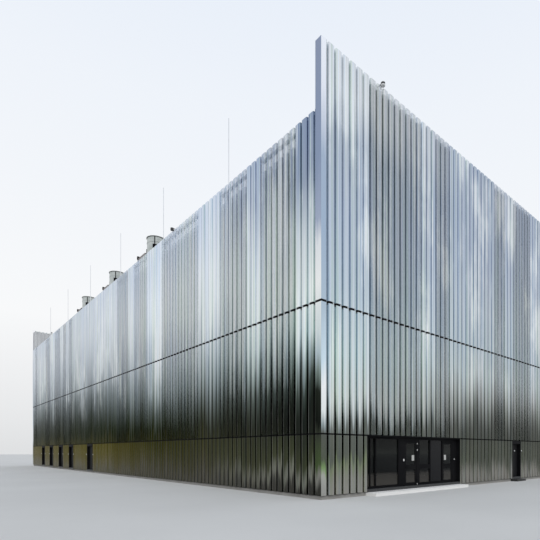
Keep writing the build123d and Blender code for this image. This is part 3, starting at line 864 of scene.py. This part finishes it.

# %% [markdown]
# ## Joint strips
# The joint between two tiers reads as a crisp black line that follows every fold: the shadow
# under the sheet above. Leaving it open would show the rails and the wall behind. So a black strip
# with the sheets' own section stands a little behind it as painted shadow: the same folded line,
# set back and pulled up over the joint only. The low joint keeps the thirty millimetres of the
# construction. The middle one is eased a little wider, and its strip is painted pale just before
# each groove, a painted highlight that breaks the line into dashes.

# %% Black strips of painted shadow behind the joints
JOINTS = {"low": (TIERS["low"][1], TIERS["middle"][0]), "middle": (TIERS["middle"][1], top_foot)}
JOINT_INSET = 0.006
JOINT_OVERLAP = 0.012
# The strip is painted shadow: near black, with a little noise in its tone.
SHADOW_NOISE = (9.0, 9.0)
SHADOW_TONES = [(0.3, 0.004), (0.7, 0.009)]
# Painted highlight: a pale stretch before each groove breaks the middle joint into dashes; the low
# joint stays black.
DASH_HIGHLIGHT_PLACE = [(0.67, 0.0), (0.70, 1.0), (0.93, 1.0), (0.96, 0.0)]
DASH_HIGHLIGHT_TONES = [(0.15, 0.015), (0.40, (0.62, 0.65, 0.67))]
joint_shadow, tree, shader = new_finish("joint_painted_shadow", 0.0, 0.9)
along, height, level = place_on_sheet(tree)
shadow_tone = ramp(tree, streaks(tree, along, height, *SHADOW_NOISE), SHADOW_TONES)
dash_highlight_mask = ramp(tree, strips(tree, along, PITCH)[1], DASH_HIGHLIGHT_PLACE)
pale = ramp(tree, level, DASH_HIGHLIGHT_TONES)
tone = blend(tree, "MIX", dash_highlight_mask, shadow_tone, pale)
adjust(tree, shader, Base_Color=tone, Specular_IOR_Level=0.1)


def joint_strip(name, bm, joint, first_groove, stand, *where):
    """A black strip of painted shadow from a folded line, pulled up over one joint, stood in place.
    """
    foot, head = JOINTS[joint]
    pull_up(bm, [foot - JOINT_OVERLAP, head + JOINT_OVERLAP])
    face_outwards(bm)
    if first_groove is None:
        store_places(bm, lambda face, place: PITCH / 2)
    else:
        store_places(bm, lambda face, place: place.x - first_groove + UV_LEAD)
    stand(bm, *where)
    finish_piece(name, bm, [joint_shadow], "building")


for joint in JOINTS:
    for side in SIDES:
        bm = folded_line(side, JOINT_INSET)
        for start, end in openings(side) if joint == "low" else []:
            cut_out(bm, start, end)
        joint_strip(f"{side}_joint_{joint}", bm, joint, FIRST_GROOVES[side], stand_on, side)
    for where, turns in CORNERS.items():
        name = f"{where}_corner_joint_{joint}"
        joint_strip(name, corner_line(JOINT_INSET), joint, None, stand_in_corner, *turns)
print("joint strips", len(JOINTS) * (len(SIDES) + len(CORNERS)))

# %% [markdown]
# ## Plain finishes for the construction
# The carried-over CAD nodes keep their shape and only need a finish. Most are paint, cast
# concrete or bare metal: one colour that drifts slowly over the surface, with a finer grain in
# the bump. One recipe with a few numbers covers them. Some nodes hold pieces that differ by
# height, and those get bands of tone. On the rails the bands are painted shade: the top rails
# stay bright, and the ones below are darkened for the shadow they stand in behind the sheets.
# The lining and the small fittings that come later use the same recipe.

# %% A recipe for paint, stone and bare metal
BAND_SPAN = 10.0
# Painted shade: the rails below the top ones are darkened for the shadow behind the sheets.
RAIL_SHADE_BANDS = [(0.0, 0.08), (7.30, 1.0), (7.42, 0.08), (8.50, 1.0)]
CAMERA_BANDS = [(0.0, 0.06), (7.475, 1.0), (8.72, 0.06), (8.765, 1.0)]
STACK_BANDS = [(0.0, 0.92), (8.475, 0.40)]


def by_height(tree, stops):
    """A tone for each height above ground, through stops of (metres, tone), without fading."""
    level = calculate(tree, "DIVIDE", axes(tree, object_place(tree))[2], BAND_SPAN)
    return ramp(tree, level, [(metres / BAND_SPAN, tone) for metres, tone in stops], "CONSTANT")


def weathered(name, dark, light, metallic, roughness, patch, grain, depth, gloss=0.5, bands=None):
    """Patches between two colours, and a fine bump. Patch and grain are changes a metre."""
    made, tree, shader = new_finish(name, metallic, roughness)
    place = object_place(tree)
    base = ramp(tree, soft_noise(tree, place, patch, 5.0, 0.6), [(0.3, dark), (0.7, light)])
    if bands:
        base = blend(tree, "MULTIPLY", 1.0, base, by_height(tree, bands))
    fine = soft_noise(tree, place, grain, 3.0)
    bump = node(tree, "ShaderNodeBump", Strength=0.35, Distance=depth, Height=fine).outputs[0]
    adjust(tree, shader, Base_Color=base, Normal=bump, Specular_IOR_Level=gloss)
    return made


# Name, two colours, metallic, roughness, patch, grain, depth, and then gloss and bands if any.
RECIPES = {
    "galvanised": ("rail_zinc", (0.62, 0.64, 0.66), (0.74, 0.76, 0.78),
        0.3, 0.5, 3, 40, 0.0005, 0.4, RAIL_SHADE_BANDS),
    "wall": ("wall_panel", (0.085, 0.088, 0.09), (0.13, 0.132, 0.135), 0.0, 0.75, 1.2, 30, 0.001),
    "concrete": ("cast_concrete", (0.3, 0.29, 0.27), (0.4, 0.39, 0.37), 0.0, 0.85, 2.5, 60, 0.002),
    "roof": ("roof_membrane", (0.33, 0.33, 0.32), (0.42, 0.42, 0.41), 0.0, 0.9, 0.7, 45, 0.001),
    "threshold": ("pale_stone", (0.90, 0.89, 0.87), (0.95, 0.94, 0.92), 0.0, 0.8, 3, 70, 0.001),
    "frame": ("dark_frame_paint", (0.006, 0.006, 0.007), (0.011, 0.011, 0.012),
        0.0, 0.6, 2, 90, 0.0003, 0.04),
    "panel": ("gloss_panel", (0.006, 0.006, 0.007), (0.010, 0.010, 0.012),
        0.0, 0.2, 1, 20, 0.0002, 0.12),
    "door": ("door_paint", (0.006, 0.006, 0.007), (0.012, 0.012, 0.013),
        0.0, 0.6, 2, 80, 0.0003, 0.15),
    "grating": ("dark_grating", (0.03, 0.03, 0.03), (0.06, 0.06, 0.058),
        0.3, 0.6, 6, 60, 0.001, 0.3),
    "stack": ("stack_zinc", (0.50, 0.54, 0.52), (0.66, 0.69, 0.67),
        0.7, 0.4, 5, 30, 0.0008, 0.5, STACK_BANDS),
    "housing": ("housing_paint", (0.24, 0.21, 0.20), (0.34, 0.31, 0.30), 0.2, 0.55, 2.2, 40, 0.001),
    "rod": ("rod_metal", (0.66, 0.68, 0.70), (0.78, 0.80, 0.82), 1.0, 0.3, 8, 60, 0.0002),
    "camera": ("camera_cover", (0.70, 0.71, 0.72), (0.80, 0.81, 0.82),
        0.0, 0.35, 9, 90, 0.0002, 0.4, CAMERA_BANDS),
    "lining": ("lining_zinc", (0.62, 0.63, 0.64), (0.74, 0.75, 0.76), 0.2, 0.5, 2, 40, 0.0005),
    "white": ("fitting_white", (0.78, 0.78, 0.77), (0.86, 0.86, 0.85), 0.0, 0.5, 20, 90, 0.0001),
    "paper": ("notice_paper", (0.50, 0.50, 0.48), (0.58, 0.58, 0.56), 0.0, 0.8, 9, 90, 0.0001),
}
FINISHES = {slot: weathered(*recipe) for slot, recipe in RECIPES.items()}
print("finishes", len(FINISHES))

# %% [markdown]
# ## Seams of the roof membrane
# The membrane comes on rolls about two metres wide, and at 1:2 a roll is one metre. The laps are
# welded, and the finish is a little darker along each of them. Cutting the slab up would change a
# CAD node, so the seams go into the finish: the distance across the roof is divided by a roll's
# width, and a narrow part of what remains is darkened.

# %% Welded laps, one roll apart
ROLL_WIDTH = 1.0
LAP_TONES = [(0.0, 0.62), (0.022, 0.70), (0.035, 1.0), (0.97, 0.93)]


def add_seams(finish):
    """Darken a narrow line at each lap, over the finish's own colour."""
    tree = finish.node_tree
    colour = tree.nodes["Principled BSDF"].inputs["Base Color"]
    membrane = colour.links[0].from_socket
    across = strips(tree, axes(tree, object_place(tree))[0], ROLL_WIDTH)[1]
    fill(tree, colour, blend(tree, "MULTIPLY", 1.0, membrane, ramp(tree, across, LAP_TONES)))


add_seams(FINISHES["roof"])
print("roof rolls", round(facade_length("front") / ROLL_WIDTH))

# %% [markdown]
# ## Tinted glass
# The entrance glass is dark and glossy. A strongly tinted glass can be a transmission material,
# but that is noisy and slow over a dark room. A thin dark coat with some see-through does the
# same from outside: a little of the hall shows through it, and the ground that it mirrors is a
# painted reflection, a lighter brown band low down on the glass.

# %% Dark glass
# Painted reflection of the ground: lighter brown low down on the glass, near black above it.
GLASS_TONES = tones(
    (160, 75, 70, 62), (400, 45, 42, 38), (460, 4, 5, 5), (740, 7, 8, 8), (900, 16, 18, 16),
    (1000, 8, 9, 8),
)
GLASS_WAVER = 0.12
GLASS_GLOSS = 0.12
GLASS_ALPHA = 0.9
FINISHES["glass"], tree, shader = new_finish("entrance_glass", 0.0, 0.04)
place = object_place(tree)
level = swing(tree, soft_noise(tree, place, 2.5, 3.0), GLASS_WAVER, axes(tree, place)[2])
tone = ramp(tree, level, GLASS_TONES)
adjust(tree, shader, Base_Color=tone, Specular_IOR_Level=GLASS_GLOSS, Alpha=GLASS_ALPHA)
print("glass alpha", GLASS_ALPHA)

# %% [markdown]
# ## Lining behind the end parapets
# Seen across the roof, the far parapet shows its back, which is lined with a plain trapezoid
# sheet. A zigzag of five points is copied along the wall and pulled up once. Above the side walls
# it runs out towards the corners.

# %% Trapezoid lining on the roof side
LINING_STEP = 0.2
LINING_FOLDS = [(0.0, 0.0), (0.09, 0.0), (0.11, 0.022), (0.18, 0.022), (LINING_STEP, 0.0)]
LINING_GAP = 0.004
LINING_MARGINS = {"front": 0.17, "back": 0.01}
WALL_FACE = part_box("front_wall_upper")[1].y - corner_low.y
roof_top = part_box("roof_slab")[1].z
side_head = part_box("left_cladding_top")[1].z
wall_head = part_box("front_wall_upper")[1].z


def lining(side, name, margin, foot, head):
    """A zigzag sheet on the wall's roof side, between two heights and a margin from the ends."""
    bm = bmesh.new()
    rib = polyline(bm, [(margin + a, WALL_FACE + LINING_GAP + d) for a, d in LINING_FOLDS])
    repeat(bm, rib, LINING_STEP, int((facade_length(side) - 2 * margin) / LINING_STEP))
    bmesh.ops.remove_doubles(bm, verts=bm.verts, dist=WELD)
    pull_up(bm, [foot, head])
    bm.normal_update()
    if next(f for f in bm.faces if abs(f.normal.y) > 0.9).normal.y < 0:
        bmesh.ops.reverse_faces(bm, faces=bm.faces)
    stand_on(bm, side)
    thicken(finish_piece(name, bm, [FINISHES["lining"]], "building"))
    print(name, "up to", round(head, 3))


for side, margin in LINING_MARGINS.items():
    lining(side, f"{side}_lining_low", WALL_FACE + 0.03, roof_top + 0.02, side_head)
    lining(side, f"{side}_lining_high", margin, side_head + 0.01, wall_head - 0.01)

# %% [markdown]
# ## Small fittings
# A few small things make the doors read at their real size: round white lamps beside the service
# doors, card readers on the entrance posts, hinge knuckles and two blank notices. The lamp is a
# turned shape, so its outline is spun round an axis. The plates are blocks with rounded edges and
# a sunk face, because an edge without a small round never catches the light. A slim mullion that
# divides the widest entrance pane is made the same way.

# %% Turned lamps and rounded plates
LAMP_OUTLINE = [
    (0.0, 0.0), (0.020, 0.0), (0.020, -0.007), (0.016, -0.010), (0.009, -0.015), (0.0, -0.017),
]
LAMP_STEPS = 16
PLATE_ROUND = 0.3
PLATE_RIM = 0.12


def spin_round(bm, outline, axis, steps):
    """Turn an outline once round an axis through the origin, and weld it where it closes."""
    bmesh.ops.spin(
        bm, geom=outline, cent=(0, 0, 0), axis=axis, angle=math.tau, steps=steps, use_merge=True
    )
    bmesh.ops.remove_doubles(bm, verts=bm.verts, dist=WELD)
    bmesh.ops.recalc_face_normals(bm, faces=bm.faces)


def round_lamp(name, side, place, body="building"):
    """A low dome on a ring at (along, depth, height), looking out of the facade."""
    bm = bmesh.new()
    spin_round(bm, polyline(bm, LAMP_OUTLINE), (0, 1, 0), LAMP_STEPS)
    bmesh.ops.translate(bm, vec=place, verts=bm.verts)
    stand_on(bm, side)
    finish_piece(name, bm, [FINISHES["white"]], body)


def rounded_block(size, radius):
    """A block about the origin, with a small round on every edge."""
    bm = bmesh.new()
    bmesh.ops.create_cube(bm, size=1.0)
    bmesh.ops.scale(bm, vec=size, verts=bm.verts)
    bmesh.ops.bevel(
        bm, geom=bm.edges[:], offset=radius, offset_type="OFFSET", segments=2,
        profile=0.5, affect="EDGES", material=-1,
    )
    return bm


def plate(name, place, size, finish="white", body="building"):
    """A rounded block with a sunk face on the front facade, at (along, depth, height)."""
    bm = rounded_block(size, size[1] * PLATE_ROUND)
    bm.normal_update()
    front = min(bm.faces, key=lambda face: face.calc_center_median().y)
    rim = min(size[0], size[2]) * PLATE_RIM
    bmesh.ops.inset_region(bm, faces=[front], thickness=rim, depth=-size[1] * PLATE_RIM)
    bmesh.ops.translate(bm, vec=place, verts=bm.verts)
    stand_on(bm, "front")
    finish_piece(name, bm, [FINISHES[finish]], body)

# %% Lamps at the doors
LAMP_FROM_OPENING = 0.05
LAMP_DEPTH = 0.003
SIDE_LAMP_HEIGHT = 0.79
FRONT_LAMP_HEIGHT = 0.935
DISC_FROM_FRAME = 0.32
DISC_PROUD = 0.001
for number, (start, end) in enumerate(openings("left"), 1):
    for which, along in (("near", start - LAMP_FROM_OPENING), ("far", end + LAMP_FROM_OPENING)):
        lamp_place = (along, LAMP_DEPTH, SIDE_LAMP_HEIGHT)
        round_lamp(f"side_door_{number}_lamp_{which}", "left", lamp_place)
service_low, service_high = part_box("service_door_frame")
lamp_along = service_high.x - corner_low.x + LAMP_FROM_OPENING
round_lamp("service_lamp", "front", (lamp_along, LAMP_DEPTH, FRONT_LAMP_HEIGHT))
leaf_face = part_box("service_door_leaf")[0].y - corner_low.y
disc_along = service_low.x - corner_low.x + DISC_FROM_FRAME
disc_place = (disc_along, leaf_face - DISC_PROUD, FRONT_LAMP_HEIGHT)
round_lamp("service_leaf_disc", "front", disc_place, "service_door_leaf")
print("service lamp at", round(lamp_along, 3))

# %% Plates at the entrance
FRAME_FACE = 0.100
NOTICE = (0.095, 0.003, 0.13)
READER = (0.034, 0.014, 0.052)
END_READER = (0.03, 0.014, 0.03)
KNUCKLE = (0.014, 0.012, 0.036)
one_low, one_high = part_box("entrance_leaf_one_glass")
two_low, two_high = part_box("entrance_leaf_two_glass")
GLASS_FACE = one_low.y - corner_low.y
for leaf, edge, step in (("one", one_high.x, -0.07), ("two", two_low.x, 0.07)):
    notice_place = (edge - corner_low.x + step, GLASS_FACE - 0.002, 0.765)
    plate(f"leaf_{leaf}_notice", notice_place, NOTICE, "paper", f"entrance_leaf_{leaf}")
# Name, the glass edge that it is placed from, step along, how proud of the frame, height, size.
PLATES = [
    ("post_reader", one_low, -0.10, 0.006, 0.72, READER),
    ("end_reader", two_high, 0.14, 0.006, 0.715, END_READER),
    ("leaf_one_knuckle_1", one_high, 0.075, 0.005, 0.15, KNUCKLE),
    ("leaf_one_knuckle_2", one_high, 0.075, 0.005, 0.95, KNUCKLE),
    ("leaf_one_knuckle_3", one_high, 0.075, 0.005, 1.10, KNUCKLE),
]
for name, edge, step, proud, height, size in PLATES:
    plate(name, (edge.x - corner_low.x + step, FRAME_FACE - proud, height), size)
print("plates", len(PLATES) + 2)

# %% A slim mullion in the wide pane
PANE_MULLION = (0.034, 0.040)
MULLION_FROM_POST = 0.37
MULLION_SUNK = 0.004
FRAME_HEAD = 0.05
pane_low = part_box("entrance_glass")[0]
frame_low, frame_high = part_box("entrance_frame")
mullion_foot, mullion_head = pane_low.z, frame_high.z - FRAME_HEAD
mullion_size = (*PANE_MULLION, mullion_head - mullion_foot)
mullion_place = (
    frame_low.x - corner_low.x + MULLION_FROM_POST,
    pane_low.y - corner_low.y - PANE_MULLION[1] / 2 + MULLION_SUNK,
    (mullion_foot + mullion_head) / 2,
)
plate("entrance_pane_mullion", mullion_place, mullion_size, "frame")
print("mullion at", [round(v, 3) for v in mullion_place])

# %% [markdown]
# ## Dark ironwork at the fan stacks
# From the ground each fan drum shows a hoop, an upright strap and the box of its motor, and its
# housing has a dark post at the near end and a stop at the far end. They are a few pixels each,
# but they break up a plain drum. The blocks get a rounded edge, the strap and the motor are turned
# to face outwards, and the hoop is a narrow section spun round the drum's axis.

# %% Straps, motors and stops
DRUM_RADIUS = 0.312
STRAP_ANGLE = math.radians(238.5)
IRON_ROUND = 0.15
# Each block on the drum has a size, stands so far proud of the drum, and has a height.
ON_DRUM = {"strap": ((0.02, 0.028, 0.42), 0.004, 8.27), "motor": ((0.06, 0.13, 0.15), 0.020, 8.12)}
POST, POST_PLACE, POST_HEIGHT = (0.04, 0.024, 0.36), (-0.21, -0.013), 8.02
STOP, STOP_PLACE, STOP_HEIGHT = (0.09, 0.07, 0.12), (-0.26, -0.035), 0.02
HOOP_STEPS, HOOP_HEIGHT = 40, 8.29
HOOP_OUTLINE = [
    (-0.016, 0.0), (0.004, 0.0), (0.007, 0.004), (0.007, 0.016), (0.004, 0.020), (-0.016, 0.020),
]


def iron_block(name, place, size, turn=0.0):
    """A dark block with rounded edges, turned about its upright axis."""
    bm = rounded_block(size, min(size) * IRON_ROUND)
    stand = Matrix.Translation(place) @ Matrix.Rotation(turn, 4, "Z")
    bmesh.ops.transform(bm, matrix=stand, verts=bm.verts)
    finish_piece(name, bm, [FINISHES["frame"]], "building")


def hoop(name, place):
    """A narrow band round the drum."""
    bm = bmesh.new()
    verts = [bm.verts.new((DRUM_RADIUS + r, 0.0, z)) for r, z in HOOP_OUTLINE]
    edges = [bm.edges.new(pair) for pair in zip(verts, verts[1:] + verts[:1])]
    spin_round(bm, verts + edges, (0, 0, 1), HOOP_STEPS)
    bmesh.ops.translate(bm, vec=place, verts=bm.verts)
    finish_piece(name, bm, [FINISHES["stack"]], "building")


drums_low, drums_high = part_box("fan_stacks")
housings_low, housings_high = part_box("fan_housings")
drum_x = (drums_low.x + drums_high.x) / 2
first_y = drums_low.y + (drums_high.x - drums_low.x) / 2
last_y = drums_high.y - (drums_high.x - drums_low.x) / 2
out = Vector((math.cos(STRAP_ANGLE), math.sin(STRAP_ANGLE), 0.0))
for number in (1, 2, 3):
    drum_y = first_y + (last_y - first_y) * (number - 1) / 2
    for block, (size, proud, height) in ON_DRUM.items():
        place = Vector((drum_x, drum_y, height)) + out * (DRUM_RADIUS + proud)
        iron_block(f"stack_{number}_{block}", place, size, STRAP_ANGLE)
    hoop(f"stack_{number}_hoop", (drum_x, drum_y, HOOP_HEIGHT))
    post_y = housings_low.y + (drum_y - first_y) + POST_PLACE[1]
    iron_block(f"stack_{number}_post", (drum_x + POST_PLACE[0], post_y, POST_HEIGHT), POST)
    stop_y = housings_high.y - (last_y - drum_y) + STOP_PLACE[1]
    stop = (drum_x + STOP_PLACE[0], stop_y, housings_high.z + STOP_HEIGHT)
    iron_block(f"stack_{number}_stop", stop, STOP)
print("drums at", round(drum_x, 3), round(first_y, 3), round(last_y, 3))

# %% Give every remaining CAD node its finish
replaced = {name for piece in cladding for name in piece["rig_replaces"]}
for part in frame["record"]["subparts"]:
    carried = frame["nodes"][part["node"]]
    if part["node"] in replaced:
        continue
    carried.data.materials.clear()
    carried.data.materials.append(FINISHES[part["material_slot"]])
print("carried nodes", len(frame["nodes"]) - len(replaced))
